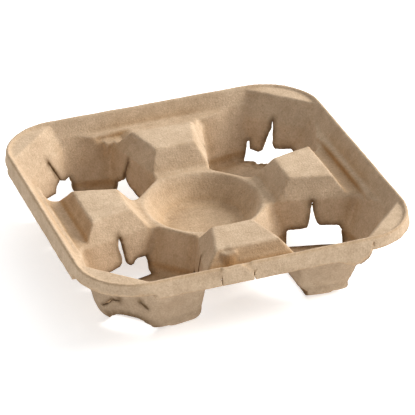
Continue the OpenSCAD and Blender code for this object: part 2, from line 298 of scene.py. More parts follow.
def lugs(x, y, z):
    """The lugs at the front hump and in the back trench."""
    front_r = FRONT_LUG_R + (FRONT_LUG_Z - z) * FRONT_LUG_TAPER
    front = np.hypot(x - FRONT_LUG_X, y + HUMP_OUT - FRONT_LUG_IN) - front_r
    front = smax(front, z - FRONT_LUG_Z, FRONT_LUG_ROUND)
    dx, dy, dz = (np.abs(v - c) - h for v, c, h in zip((x, y, z), BACK_LUG, BACK_LUG_HALF))
    back = smax(smax(dx, dy, BACK_LUG_ROUND), dz, BACK_LUG_END_ROUND)
    return np.minimum(front, back)


def envelope(x, y, z):
    """The tray's outside: skirt, rim, front tab and the dip behind it."""
    half = HALF_W - SIDE_GAP - FLARE * np.clip((z - FLARE_Z) / FLARE_RISE, 0.0, 1.0)
    out = smax(square_2d(x, y, half, CORNER_R), z - TRAY_H + TOP_GAP, RIM_ROUND)
    droop = np.interp(x, *TAB_DROOP)
    across = np.maximum(TAB_Y[0] - y, y - TAB_Y[1])
    tab = smax(np.abs(x - TAB_X) - TAB_HALF, across, TAB_ROUND)
    tab = smax(tab, z - TAB_Z + droop, TAB_ROUND)
    dip = smax(np.abs(x - TAB_X) - DIP_HALF, np.abs(y - DIP_Y) - DIP_REACH, TAB_ROUND)
    dip = smax(dip, DIP_Z - z, TAB_ROUND)
    return smax(smin(out, tab, TAB_BLEND), -dip, TAB_BLEND)


def air(p):
    """All that is hollowed out of the block from above."""
    x, y, z = p[:, 0], p[:, 1], p[:, 2]
    near_rim = -square_2d(x, y, rim_half(z), INNER_R)
    rim_blend = np.clip(near_rim * RIM_BLEND_SHARE, *RIM_BLEND)
    out = smin(rim_air(x, y, z), pocket_air(x, y, z), rim_blend)
    out = smin(out, trench_air(x, y, z), TRENCH_BLEND)
    out = smin(out, centre_air(x, y, z), CENTRE_BLEND)
    out = smin(out, bowl_air(x, y, z), BOWL_BLEND)
    return smax(out, -lugs(x, y, z), LUG_BLEND)


def block(p):
    """Distance of the tray's filled block."""
    return smax(envelope(p[:, 0], p[:, 1], p[:, 2]), -air(p), BLOCK_BLEND)


def tray(p):
    """Distance of the filled block with the pulp's own unevenness."""
    out = block(p)
    for height, size, seed in UNEVEN:
        out = out + height * noise(p, size, seed)
    return out


# Meshing

# Corners of the grid, and the number of parts it is worked out in
GRID_LO = (-111.0, -111.0, -0.6)
GRID_HI = (111.0, 111.0, 51.0)
GRID_PARTS = 12
# Room that the sheet keeps to, just inside the CAD model's box
ROOM_LO = (-107.9, -107.9, 0.0)
ROOM_HI = (107.9, 107.9, 47.95)
# Settling on the surface: step of the slope, least square of the slope, longest move
SLOPE_STEP = 0.12
LEAST_SLOPE = 0.05
LONGEST_MOVE = 0.8
FIRST_SETTLES = 3
RELAX_ROUNDS = 2
RELAX_SHARE = 0.5
# Clipping: least value at a point, and how near to an edge's ends it may be cut
LEAST_VALUE = 1e-4
CLIP_SHARES = (0.04, 0.96)
# Distance from a cut within which triangles are split
SPLIT_REACH = 1.5
# Depth of the block's outside, and the height down to which it belongs to the sheet
SKIN = 1.2
SKIN_LOW_Z = 29.0
# Wall thickness: depths tried, share of each that has to be solid, share kept in a fold
DEPTHS = (2.0, 1.7, 1.4, 1.1, 0.8)
SOLID_SHARE = 0.55
FOLD_SHARE = 0.7
DEPTH_ROUNDS = 3
# Least length that a normal is divided by
LEAST_LENGTH = 1e-9


def surface_net(values, origin, step):
    """Quads of the zero surface of a grid of distances."""
    inside = values < 0.0
    n = values.shape

    def corner(a, c):
        return a[c[0]:n[0] - 1 + c[0], c[1]:n[1] - 1 + c[1], c[2]:n[2] - 1 + c[2]]

    corners = [(i, j, k) for i in (0, 1) for j in (0, 1) for k in (0, 1)]
    count = sum(corner(inside, c).astype(np.int8) for c in corners)
    mixed = (count > 0) & (count < len(corners))
    index = np.full(mixed.shape, -1, np.int64)
    index[mixed] = np.arange(mixed.sum())
    total = np.zeros((mixed.sum(), 3))
    hits = np.zeros(mixed.sum())
    for c0 in corners:
        for axis in range(3):
            if c0[axis]:
                continue
            c1 = tuple(1 if i == axis else c0[i] for i in range(3))
            v0 = corner(values, c0)[mixed]
            v1 = corner(values, c1)[mixed]
            cross = (v0 < 0.0) != (v1 < 0.0)
            place = np.tile(np.array(c0, float), (len(v0), 1))
            place[:, axis] = v0 / np.where(cross, v0 - v1, 1.0)
            total[cross] += place[cross]
            hits[cross] += 1
    verts = np.array(origin) + (np.argwhere(mixed) + total / hits[:, None]) * step
    quads = []
    for axis in range(3):
        b, c = (axis + 1) % 3, (axis + 2) % 3
        low = np.moveaxis(inside, axis, 0)[:-1]
        high = np.moveaxis(inside, axis, 0)[1:]
        edges = np.argwhere(np.moveaxis(low != high, 0, axis))
        solid_low = np.moveaxis(low, 0, axis)[tuple(edges.T)]
        keep = (edges[:, b] > 0) & (edges[:, c] > 0)
        keep &= (edges[:, b] < n[b] - 1) & (edges[:, c] < n[c] - 1)
        edges, solid_low = edges[keep], solid_low[keep]
        ring = []
        for db, dc in ((1, 1), (0, 1), (0, 0), (1, 0)):
            cell = edges.copy()
            cell[:, b] -= db
            cell[:, c] -= dc
            ring.append(index[tuple(cell.T)])
        ring = np.stack(ring, 1)
        ring[~solid_low] = ring[~solid_low][:, ::-1]
        quads.append(ring)
    return verts, np.concatenate(quads)


def gradient(p):
    """Slope of the tray's distance at each point."""
    g = np.empty_like(p)
    for axis in range(3):
        d = np.zeros(3)
        d[axis] = SLOPE_STEP
        g[:, axis] = (tray(p + d) - tray(p - d)) / (2.0 * SLOPE_STEP)
    return g


def settle(p, rounds):
    """Points moved on to the tray's surface."""
    for _ in range(rounds):
        s = tray(p)
        g = gradient(p)
        step = s[:, None] * g / np.maximum((g * g).sum(1), LEAST_SLOPE)[:, None]
        p = p - np.clip(step, -LONGEST_MOVE, LONGEST_MOVE)
    return p


def edge_list(tris):
    """Each edge once, as two point numbers."""
    e = np.sort(np.concatenate([tris[:, [0, 1]], tris[:, [1, 2]], tris[:, [2, 0]]]), axis=1)
    return np.unique(e, axis=0)


def relax(p, edges, amount):
    """Points moved a share of the way to the mean of their neighbours."""
    total = np.zeros_like(p)
    count = np.zeros(len(p))
    for a, b in ((0, 1), (1, 0)):
        np.add.at(total, edges[:, a], p[edges[:, b]])
        np.add.at(count, edges[:, a], 1.0)
    mean = total / np.maximum(count, 1.0)[:, None]
    return p + (mean - p) * amount


def used_only(p, tris):
    """A mesh without the points that no triangle uses."""
    used = np.unique(tris)
    index = np.full(len(p), -1, np.int64)
    index[used] = np.arange(len(used))
    return p[used], index[tris]


def split_near(p, tris, value, reach):
    """Triangles near a cut's edge split in four, and their neighbours to match."""
    near = (np.abs(value) < reach)[tris].any(1)
    e = np.sort(tris[:, [[0, 1], [1, 2], [2, 0]]].reshape(-1, 2), axis=1)
    pairs, which = np.unique(e, axis=0, return_inverse=True)
    which = which.reshape(-1, 3)
    marked = np.zeros(len(pairs), bool)
    marked[which[near].ravel()] = True
    middle = np.full(len(pairs), -1, np.int64)
    middle[marked] = len(p) + np.arange(marked.sum())
    p = np.concatenate([p, p[pairs[marked]].mean(1)])
    out = []
    for t, w in zip(tris, middle[which]):
        a, b, c = t
        cut = w >= 0
        n = cut.sum()
        if n == 0:
            out.append((a, b, c))
        elif n == 3:
            out += [(a, w[0], w[2]), (w[0], b, w[1]), (w[2], w[1], c), (w[0], w[1], w[2])]
        elif n == 1:
            k = int(np.argmax(cut))
            a, b, c = t[k], t[(k + 1) % 3], t[(k + 2) % 3]
            out += [(a, w[k], c), (w[k], b, c)]
        else:
            k = int(np.argmin(cut))
            a, b, c = t[k], t[(k + 1) % 3], t[(k + 2) % 3]
            m1, m2 = w[(k + 1) % 3], w[(k + 2) % 3]
            out += [(m1, c, m2), (a, b, m1), (a, m1, m2)]
    return p, np.array(out)


def clip(p, tris, value):
    """The part of a triangle mesh where a value at its points is above zero."""
    value = np.where(np.abs(value) < LEAST_VALUE, LEAST_VALUE, value)
    keep = value > 0.0
    count = keep[tris].sum(1)
    whole = tris[count == 3]
    made = {}
    extra = []

    def crossing(a, b):
        key = (min(a, b), max(a, b))
        if key not in made:
            t = value[key[0]] / (value[key[0]] - value[key[1]])
            t = min(max(t, CLIP_SHARES[0]), CLIP_SHARES[1])
            made[key] = len(p) + len(extra)
            extra.append(p[key[0]] + (p[key[1]] - p[key[0]]) * t)
        return made[key]

    out = []
    for t in tris[(count == 1) | (count == 2)]:
        k = keep[t]
        if k.sum() == 1:
            i = int(np.argmax(k))
            a, b, c = t[i], t[(i + 1) % 3], t[(i + 2) % 3]
            out.append((a, crossing(a, b), crossing(a, c)))
        else:
            i = int(np.argmin(k))
            a, b, c = t[i], t[(i + 1) % 3], t[(i + 2) % 3]
            ab, ac = crossing(a, b), crossing(a, c)
            out += [(ab, b, c), (ab, c, ac)]
    p = np.concatenate([p, np.array(extra)])
    return used_only(p, np.concatenate([whole, np.array(out)]))


# Cuts

FAR = 1e9
# Value at points that no cut is near
NO_CUT = 30.0
# Space round a pocket's face in which its cut is looked for: below a height, out to a distance,
# to each side along the face, and before the cut's start
CUT_HIGH_Z = 36.0
CUT_OUT = 47.0
CUT_ALONG = 34.0
CUT_BEFORE = 6.0
SHADE_BEFORE = 4.0
# Roughness of a torn edge: height, size and seed of each layer of noise
CUT_ROUGH = ((0.28, 1.9, 11), (0.25, 5.0, 12))
# Painted shade along a torn edge, where its thickness lies in shade, and the size of the painted
# dark spot at its tip
EDGE_SHADE = 0.9
TIP_ALONG = 2.1
TIP_UP = 3.2
# Painted fold shade in the front hump: x, half width, y from and to, lowest height, darkness and
# reach
FOLD_X = -11.0
FOLD_HALF = 8.0
FOLD_Y = (-92.0, -77.0)
FOLD_LOW_Z = 34.0
FOLD_SHADE = 0.5
FOLD_REACH = 0.8
# Unevenness of the painted shade at torn edges: mean, and height, size and seed of the noise
SHADE_MEAN = 0.85
SHADE_UNEVEN = (0.35, 2.5, 31)
# Skirt: where its corners start, roughness of its edge, and y that its front lies beyond
SKIRT_CORNER = 69.0
SKIRT_ROUGH = (0.25, 5.0, 21)
FRONT_Y = -100.0
# Lobe that hangs from the front skirt: x, drop
LOBE = ((48.0, 57.0, 63.0, 66.0, 68.5), (0.0, 4.6, 3.8, 0.6, 0.0))
# Slits beside the front tab
SLIT_X = (-26.75, -6.25)
SLIT_HALF = 0.45
SLIT_Z = 42.0
# Notch in the front skirt: x at a height, lean, half width at a height and its growth, top
NOTCH_X, NOTCH_X_Z = 70.4, 42.0
NOTCH_LEAN = 0.2
NOTCH_HALF, NOTCH_HALF_Z = 0.15, 46.0
NOTCH_GROWTH = 0.07
NOTCH_Z = 45.4


def face_frame(p, sx, sy, angle):
    """Distance across a pocket's face from its centre, and place along the face."""
    px = p[:, 0] * sx - POCKET_C
    py = p[:, 1] * sy - POCKET_C
    c, s = math.cos(math.radians(angle)), math.sin(math.radians(angle))
    return px * c + py * s, -px * s + py * c


def outline_value(t, z, points):
    """Distance from a closed outline in the plane of a face: negative inside it."""
    best = np.full(len(t), FAR)
    inside = np.zeros(len(t), bool)
    for (t0, z0), (t1, z1) in zip(points, points[1:] + points[:1]):
        et, ez = t1 - t0, z1 - z0
        u = np.clip(((t - t0) * et + (z - z0) * ez) / (et * et + ez * ez), 0.0, 1.0)
        best = np.minimum(best, np.hypot(t - t0 - u * et, z - z0 - u * ez))
        if z0 != z1:
            inside ^= ((z0 > z) != (z1 > z)) & (t < t0 + et * (z - z0) / ez)
    return np.where(inside, -best, best)


def mirrored(points):
    """An outline turned left to right."""
    return [(-t, z) for t, z in points]


# Torn outlines in the faces of the pockets: place along the face, height
SIDE_CUT = [
    (-14.8, -2), (-14.6, 10.6), (-13.6, 11.6), (-6, 11.9), (-1.4, 12.3), (-0.6, 14), (0.5, 20),
    (1.2, 25), (1.8, 29.6), (2.8, 29.4), (2.4, 25), (3.3, 20), (5, 15.2), (6.3, 13.8), (12, 13.3),
    (19, 13), (20.5, 10), (20.9, -2),
]
TONGUE_CUT = [
    (-17, -2), (-16.8, 9), (-15.6, 13.2), (-9.6, 13.8), (-7.6, 12.6), (-6.4, 10.9), (-4, 10.7),
    (-2.6, 11.6), (-1.4, 13.4), (-0.8, 19.9), (-0.2, 24), (1, 30.9), (2.3, 30.8), (3, 24.5),
    (1.7, 17.2), (1.8, 14.5), (4, 12.4), (9, 11.6), (17, 11), (18.5, -2),
]
GABLE_CUT = [
    (-19.5, -2), (-19.3, 8), (-13.4, 12.2), (-11.4, 13.6), (-10.5, 19.5), (-8.2, 27.8),
    (-7.2, 27.6), (-8.9, 19.6), (-8.2, 15), (-6, 13), (1.3, 10.8), (10, 8.7), (15, 7.5),
    (16.5, -2),
]
WIDE_CORNER_CUT = [
    (18.2, 3.1), (18, 9), (17.9, 15), (16.8, 15.2), (15.6, 9.8), (10, 8.8), (7.2, 10.2),
    (6.2, 15.4), (4.4, 21), (2.6, 26.6), (2.5, 31), (1.6, 31.2), (1, 27.6), (0.4, 21),
    (0.5, 16.8), (-2, 13.2), (-8, 14.4), (-13, 15.6), (-16.5, 13), (-17, 3.1),
]
LEAN_CORNER_CUT = [
    (19.3, 3.1), (19.7, 13.4), (16, 12.3), (11.8, 14.8), (7.9, 22.9), (4, 31.4), (2.7, 30.8),
    (6.5, 22.3), (10.2, 14.9), (5, 13.4), (2.4, 9.9), (-4, 10.6), (-11, 12.2), (-15, 10.5),
    (-16, 3.1),
]
ARCH_CUT = [
    (-17, -2), (-16.6, 1.2), (-14.6, 1.6), (-12.4, 5.2), (-6, 7.9), (1, 9.2), (6, 8.9), (10, 7.8),
    (14, 5.6), (17.4, 2.6), (18, -2),
]
SIDE_FRONT_CUT = [
    (17, -2), (16.8, 9), (15.6, 13.2), (9.6, 13.8), (5, 13), (1.4, 13.6), (0.8, 20), (0.2, 24),
    (-1, 30.9), (-2.3, 30.8), (-3, 24.5), (-2.4, 17.2), (-3, 15), (-6, 14.4), (-13.7, 14),
    (-16.6, 12.5), (-20.2, 10.5), (-23.5, 8.1), (-25.3, 6.4), (-25.9, 4), (-25.4, -2),
]
LEAN_ARCH_CUT = [
    (16.2, -2), (17.2, 4), (17.8, 8), (18, 15), (17.4, 19.8), (15.6, 20), (11.2, 17.7), (5, 14.6),
    (0.4, 12.5), (-7, 10.8), (-10, 11.8), (-14, 10.8), (-17, 7), (-18, -2),
]
FLAP_LEFT = [
    (-17.2, 12.2), (-15.6, 12.6), (-12.5, 14.8), (-8.4, 18.9), (-3.5, 19.6), (-3.5, 20),
    (-8.7, 19.6), (-13.2, 15.4),
]
FLAP_RIGHT = [(9.2, 22.6), (11.1, 22.8), (15.4, 19), (15.5, 17.9), (14.6, 18.2), (11.1, 21.6)]
# Quarter of the tray (signs of x and y), face, start of the cut and its skew, reach of the painted
# shade at its edge, outline
CUTS = [
    (1, 1, 0, 24.0, 0.0, 2.4, WIDE_CORNER_CUT), (-1, 1, 0, 24.0, 0.0, 1.8, LEAN_CORNER_CUT),
    (-1, -1, 0, 21.0, 0.0, 3.2, ARCH_CUT), (-1, -1, 0, 21.0, 0.0, 1.0, FLAP_LEFT),
    (-1, -1, 0, 21.0, 0.0, 1.0, FLAP_RIGHT), (1, -1, 0, 21.0, 0.0, 1.2, LEAN_ARCH_CUT),
    (-1, 1, 2, 23.6, 0.0, 1.7, GABLE_CUT), (-1, 1, 4, 23.6, 0.0, 1.4, SIDE_CUT),
    (1, 1, 2, 23.6, 0.0, 1.4, mirrored(SIDE_CUT)), (1, 1, 4, 23.6, 0.0, 1.4, mirrored(GABLE_CUT)),
    (-1, -1, 2, 23.6, 0.0, 1.4, mirrored(SIDE_CUT)), (-1, -1, 4, 23.6, 0.0, 1.9, TONGUE_CUT),
    (1, -1, 2, 18.0, 0.26, 1.0, SIDE_FRONT_CUT), (1, -1, 4, 23.6, 0.0, 2.6, SIDE_CUT),
]
# Least distance from the pocket's centre at which a skewed cut starts
LEAST_START = 16.0
# Curved brown line of painted fold shade in the outside of the front hump: x, height
PAINTED_FOLD_LINE = [
    (-14.5, 42.8), (-12.2, 42.9), (-10.4, 42), (-9.1, 40.4), (-7.8, 37.6), (-7.2, 36.2),
    (-7.5, 36.1), (-8.2, 37.5), (-9.5, 40.1), (-10.7, 41.6), (-12.3, 42.5), (-14.5, 42.5),
]


def cut_value(p):
    """Distance from the nearest cut's torn edge: negative inside a cut."""
    out = np.full(len(p), NO_CUT)
    low = np.where(p[:, 2] < CUT_HIGH_Z)[0]
    q = p[low]
    rough = sum(height * noise(q, size, seed) for height, size, seed in CUT_ROUGH)
    best = np.full(len(q), NO_CUT)
    for sx, sy, face, start, skew, _, points in CUTS:
        a, t = face_frame(q, sx, sy, FACE_ANGLES[face])
        begin = np.maximum(start - skew * t, LEAST_START)
        near = (a > begin - CUT_BEFORE) & (a < CUT_OUT) & (np.abs(t) < CUT_ALONG)
        value = outline_value(t[near], q[near, 2], points) + rough[near]
        best[near] = np.minimum(best[near], np.maximum(value, (begin - a)[near]))
    out[low] = best
    return out


def fold_shade_near(p):
    """Points in the part of the front hump's outside that holds the painted fold shade."""
    x, y, z = p[:, 0], p[:, 1], p[:, 2]
    across = (np.abs(x - FOLD_X) < FOLD_HALF) & (y > FOLD_Y[0]) & (y < FOLD_Y[1])
    return across & (z > FOLD_LOW_Z)


def paint_cut_shade(p):
    """Painted shade at torn edges and the fold line: 1 at a cut's tip, nearly 1 at its edge."""
    shade = np.zeros(len(p))
    for sx, sy, face, start, skew, reach, points in CUTS:
        a, t = face_frame(p, sx, sy, FACE_ANGLES[face])
        begin = np.maximum(start - skew * t, LEAST_START)
        near = (a > begin - SHADE_BEFORE) & (a < CUT_OUT) & (np.abs(t) < CUT_ALONG)
        near &= p[:, 2] < CUT_HIGH_Z
        tn, zn = t[near], p[near, 2]
        away = np.maximum(outline_value(tn, zn, points), (begin - a)[near])
        edge = np.exp(-(np.maximum(away, 0.0) / reach) ** 2)
        tip_t, tip_z = max(points, key=lambda q: q[1])
        tip = np.exp(-((tn - tip_t) / TIP_ALONG) ** 2 - ((zn - tip_z) / TIP_UP) ** 2)
        shade[near] = np.maximum(shade[near], np.maximum(edge * EDGE_SHADE, tip))
    hump = fold_shade_near(p)
    value = np.maximum(outline_value(p[hump, 0], p[hump, 2], PAINTED_FOLD_LINE), 0.0)
    line_shade = FOLD_SHADE * np.exp(-(value / FOLD_REACH) ** 2)
    shade[hump] = np.maximum(shade[hump], line_shade)
    height, size, seed = SHADE_UNEVEN
    return shade * np.clip(SHADE_MEAN + height * noise(p, size, seed), 0.0, 1.0)


def skirt_value(p):
    """Height above the skirt's lower edge, for points on the skirt's outside."""
    x, y, z = p[:, 0], p[:, 1], p[:, 2]
    outer = envelope(x, y, z) > -SKIN
    corner = np.minimum(np.abs(x), np.abs(y)) > SKIRT_CORNER
    height, size, seed = SKIRT_ROUGH
    low = np.where(corner, CORNER_SKIRT_Z, SKIRT_Z) + height * noise(p, size, seed)
    low = low - np.where(y < FRONT_Y, np.interp(x, *LOBE), 0.0)
    slits = np.minimum(np.abs(x - SLIT_X[0]), np.abs(x - SLIT_X[1])) - SLIT_HALF
    slits = np.maximum(slits, z - SLIT_Z)
    notch = np.abs(x - NOTCH_X - (z - NOTCH_X_Z) * NOTCH_LEAN)
    notch = notch - NOTCH_HALF - (NOTCH_HALF_Z - z) * NOTCH_GROWTH
    notch = np.maximum(notch, z - NOTCH_Z)
    front = np.where(y < FRONT_Y, np.minimum(slits, notch), NO_CUT)
    return np.where(outer, np.minimum(z - low, front), NO_CUT)


# Sheet

def vertex_normals(p, tris):
    """Directions across the sheet at its points."""
    n = np.cross(p[tris[:, 1]] - p[tris[:, 0]], p[tris[:, 2]] - p[tris[:, 0]])
    out = np.zeros_like(p)
    for k in range(3):
        np.add.at(out, tris[:, k], n)
    return out / np.maximum(np.linalg.norm(out, axis=1), LEAST_LENGTH)[:, None]


def thickness(p, normals, edges):
    """Wall thickness at each point, thinner where the pulp folds back on itself."""
    depth = np.full(len(p), WALL)
    for t in DEPTHS:
        shallow = tray(p - normals * t) > -SOLID_SHARE * t
        depth = np.where(shallow, t * FOLD_SHARE, depth)
    for _ in range(DEPTH_ROUNDS):
        spread = relax(depth[:, None], edges, RELAX_SHARE)[:, 0]
        depth = np.minimum(spread, WALL)
    return depth


def thicken(p, tris):
    """The sheet closed by its underside and by walls along its edges."""
    edges = edge_list(tris)
    normals = vertex_normals(p, tris)
    depth = thickness(p, normals, edges)
    under = np.clip(p - normals * depth[:, None], ROOM_LO, ROOM_HI)
    n = len(p)
    e = np.concatenate([tris[:, [0, 1]], tris[:, [1, 2]], tris[:, [2, 0]]])
    key = np.sort(e, axis=1)
    _, first, count = np.unique(key, axis=0, return_index=True, return_counts=True)
    border = e[first[count == 1]]
    a, b = border[:, 0], border[:, 1]
    walls = np.concatenate([np.stack([b, a, a + n], 1), np.stack([b, a + n, b + n], 1)])
    every = np.concatenate([tris, tris[:, ::-1] + n, walls])
    return np.concatenate([p, under]), every


def make_sheet():
    """The upper side of the tray as triangles, with the skirt's edge and the cuts torn out."""
    lo, hi = np.array(GRID_LO), np.array(GRID_HI)
    n = np.ceil((hi - lo) / GRID).astype(int) + 1
    axes = [lo[i] + np.arange(n[i]) * GRID for i in range(3)]
    grid = np.stack(np.meshgrid(*axes, indexing="ij"), -1).reshape(-1, 3)
    parts = np.array_split(grid, GRID_PARTS)
    values = np.concatenate([block(part) for part in parts]).reshape(n)
    p, quads = surface_net(values, lo, GRID)
    p = settle(p, FIRST_SETTLES)
    short = np.linalg.norm(p[quads[:, 0]] - p[quads[:, 2]], axis=1)
    other = np.linalg.norm(p[quads[:, 1]] - p[quads[:, 3]], axis=1)
    across = (short <= other)[:, None]
    first = np.where(across, quads[:, [0, 1, 2]], quads[:, [0, 1, 3]])
    second = np.where(across, quads[:, [0, 2, 3]], quads[:, [1, 2, 3]])
    tris = np.concatenate([first, second])
    outer = envelope(p[:, 0], p[:, 1], p[:, 2]) > -SKIN
    sheet = ~outer | (p[:, 2] > SKIN_LOW_Z)
    p, tris = used_only(p, tris[sheet[tris].all(1)])
    for _ in range(RELAX_ROUNDS):
        p = settle(relax(p, edge_list(tris), RELAX_SHARE), 1)
    p, tris = clip(p, tris, skirt_value(p))
    p, tris = split_near(p, tris, cut_value(p), SPLIT_REACH)
    p, tris = clip(p, tris, cut_value(p))
    return np.clip(p, ROOM_LO, ROOM_HI), tris


def lighter(obj, most):
    """Fewer triangles where the sheet is flat."""
    part = obj.modifiers.new("lighter", "DECIMATE")
    part.ratio = min(1.0, most / len(obj.data.polygons))
    seen = obj.evaluated_get(bpy.context.evaluated_depsgraph_get())
    made = bpy.data.meshes.new_from_object(seen)
    obj.modifiers.clear()
    obj.data = made


# Depth below the surface at which the underside, which gets painted shade, starts
UNDER_DEPTH = 0.5
# Painted shade on the skirt's outside: depth, height it starts below, fade, strength
SKIRT_DEPTH = 1.0
SKIRT_SHADE_Z = 46.8
SKIRT_FADE = 1.5
SKIRT_SHADE = 0.4
# Painted shade in hollows: distances looked out to, strength, and what is added near the bowl's
# wall
HOLLOW_REACHES = (3.0, 7.0, 14.0, 24.0)
HOLLOW_SHADE = 1.6
BOWL_REACH = 1.8
BOWL_FADE = 5.0
BOWL_SHADE = 0.3


def mark_surface(obj):
    """Values for the material at each point: painted shade at torn edges, in hollows and
    underneath.
    """
    mesh = obj.data
    count = len(mesh.vertices)
    p = np.empty(count * 3)
    normals = np.empty(count * 3)
    mesh.vertices.foreach_get("co", p)
    mesh.vertices.foreach_get("normal", normals)
    p, normals = p.reshape(-1, 3) / MM, normals.reshape(-1, 3)
    x, y, z = p[:, 0], p[:, 1], p[:, 2]
    under = np.clip((-UNDER_DEPTH - tray(p)) / UNDER_DEPTH, 0.0, 1.0)
    skirt = np.clip((envelope(x, y, z) + SKIRT_DEPTH) / SKIRT_DEPTH, 0.0, 1.0)
    skirt = skirt * np.clip((SKIRT_SHADE_Z - z) / SKIRT_FADE, 0.0, 1.0)
    # Painted shade: darker the more the space in front of a point is closed in, where less light
    # gets in
    closed = sum(np.clip(1.0 - tray(p + normals * h) / h, 0.0, 1.0) for h in HOLLOW_REACHES)
    closed = closed / len(HOLLOW_REACHES)
    # More painted shade on the bowl's wall below its lip
    bowl = np.clip(BOWL_REACH - bowl_air(x, y, z), 0.0, 1.0)
    bowl = bowl * np.clip((LIP_Z - z) / BOWL_FADE, 0.0, 1.0)
    painted_hollow_shade = np.clip(closed * HOLLOW_SHADE + BOWL_SHADE * bowl, 0.0, 1.0) * (1.0 - under)
    # Painted shade on the sheet's underside and on the skirt's outside, which face away from the
    # main light
    painted_under_shade = np.maximum(under, SKIRT_SHADE * skirt)
    marks = {"painted_cut_shade": paint_cut_shade(p), "painted_hollow_shade": painted_hollow_shade, "painted_under_shade": painted_under_shade}
    for name, value in marks.items():
        attribute = mesh.attributes.new(name, "FLOAT", "POINT")
        attribute.data.foreach_set("value", value.astype(np.float32))


def add_mesh(name, p, tris, material):
    """A smooth-shaded object made of triangles in millimetres."""
    mesh = bpy.data.meshes.new(name)
    mesh.from_pydata((p * MM).tolist(), [], tris.tolist())
    mesh.polygons.foreach_set("use_smooth", [True] * len(mesh.polygons))
    mesh.materials.append(material)
    mesh.update()
    obj = bpy.data.objects.new(name, mesh)
    bpy.context.scene.collection.objects.link(obj)
    return obj


# Materials

PULP_BROWN = (0.545, 0.405, 0.275, 1)
PULP_TAN = (0.655, 0.505, 0.355, 1)
PALE_FIBRE = (0.74, 0.60, 0.45, 1)
DARK_FIBRE = (0.33, 0.215, 0.125, 1)
# Painted shade at torn edges and in the fold line
CUT_SHADE_COLOUR = (0.125, 0.070, 0.028, 1)
# Colours that the pulp is multiplied by
PATCH_TINTS = (0.88, 0.86, 0.83, 1), (1.08, 1.08, 1.09, 1)
GRAIN_TINTS = (0.76, 0.73, 0.69, 1), (1.14, 1.14, 1.15, 1)
# Painted shade in hollows and on the bowl's wall
HOLLOW_SHADE_COLOUR = (0.75, 0.615, 0.43, 1)
# Painted shade on the underside and the skirt's outside
UNDER_SHADE_COLOUR = (0.72, 0.71, 0.70, 1)
TINT_SHARE = 0.7
# Colour sockets of a Mix node
MIX_A, MIX_B, MIX_RESULT = 6, 7, 2


